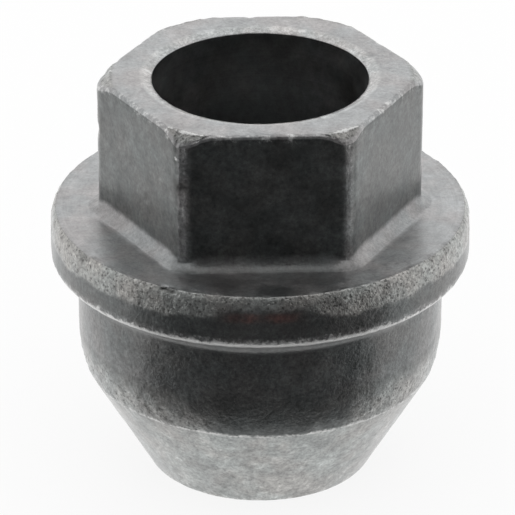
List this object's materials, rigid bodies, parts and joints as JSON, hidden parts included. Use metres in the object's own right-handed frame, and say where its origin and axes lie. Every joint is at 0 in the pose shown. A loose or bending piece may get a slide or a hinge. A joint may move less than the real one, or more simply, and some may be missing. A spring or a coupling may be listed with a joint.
{
  "type": "lug nut",
  "caption": "Wheel nut forged and turned in one piece: a hex drive with a plain bore, a round bulged flange and a tapered seat, threaded through for a wheel stud.",
  "frame": {"origin": "centre of the small end of the seat cone, on the plane that the nut stands on", "axes": "+Z along the thread's axis towards the hex, +X through a hex corner, +Y square to a hex flat"},
  "size_m": [0.033, 0.033, 0.033],
  "materials": {
    "phosphated_steel": "matt dark grey phosphate coat, worn light on edges and on the seat"
  },
  "bodies": {
    "root": {"lug_nut": "phosphated_steel"}
  },
  "joints": []
}
